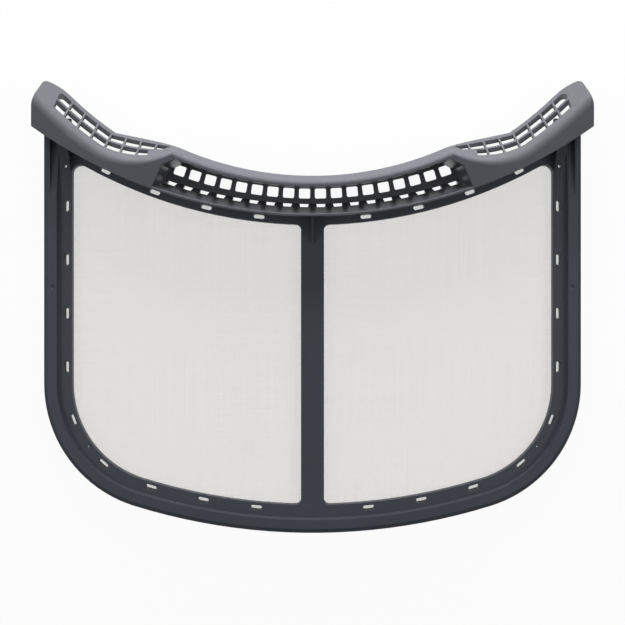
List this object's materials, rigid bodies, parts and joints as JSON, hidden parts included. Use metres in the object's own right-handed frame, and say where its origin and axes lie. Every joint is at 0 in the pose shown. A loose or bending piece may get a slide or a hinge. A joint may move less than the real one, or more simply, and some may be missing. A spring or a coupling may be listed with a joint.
{
  "type": "tumble dryer lint filter",
  "caption": "U-shaped plastic frame with a fine mesh screen in its windows and a curved grille and finger-grip cover across the top, to catch lint in a tumble dryer.",
  "frame": {"origin": "middle of the bounding box in X and Y, on the plane of the flat back", "axes": "+X along the cover to the right, +Y up the filter towards the cover, +Z out of the front"},
  "size_m": [0.4228, 0.3495, 0.038],
  "materials": {
    "frame_plastic": "charcoal moulded plastic, fine grain, half matt",
    "screen_mesh": "off-white fine woven monofilament mesh",
    "cover_plastic": "charcoal moulded plastic, fine grain, half matt"
  },
  "bodies": {
    "root": {"mesh_frame": "frame_plastic", "mesh_screen": "screen_mesh", "top_cover": "cover_plastic"}
  },
  "joints": []
}
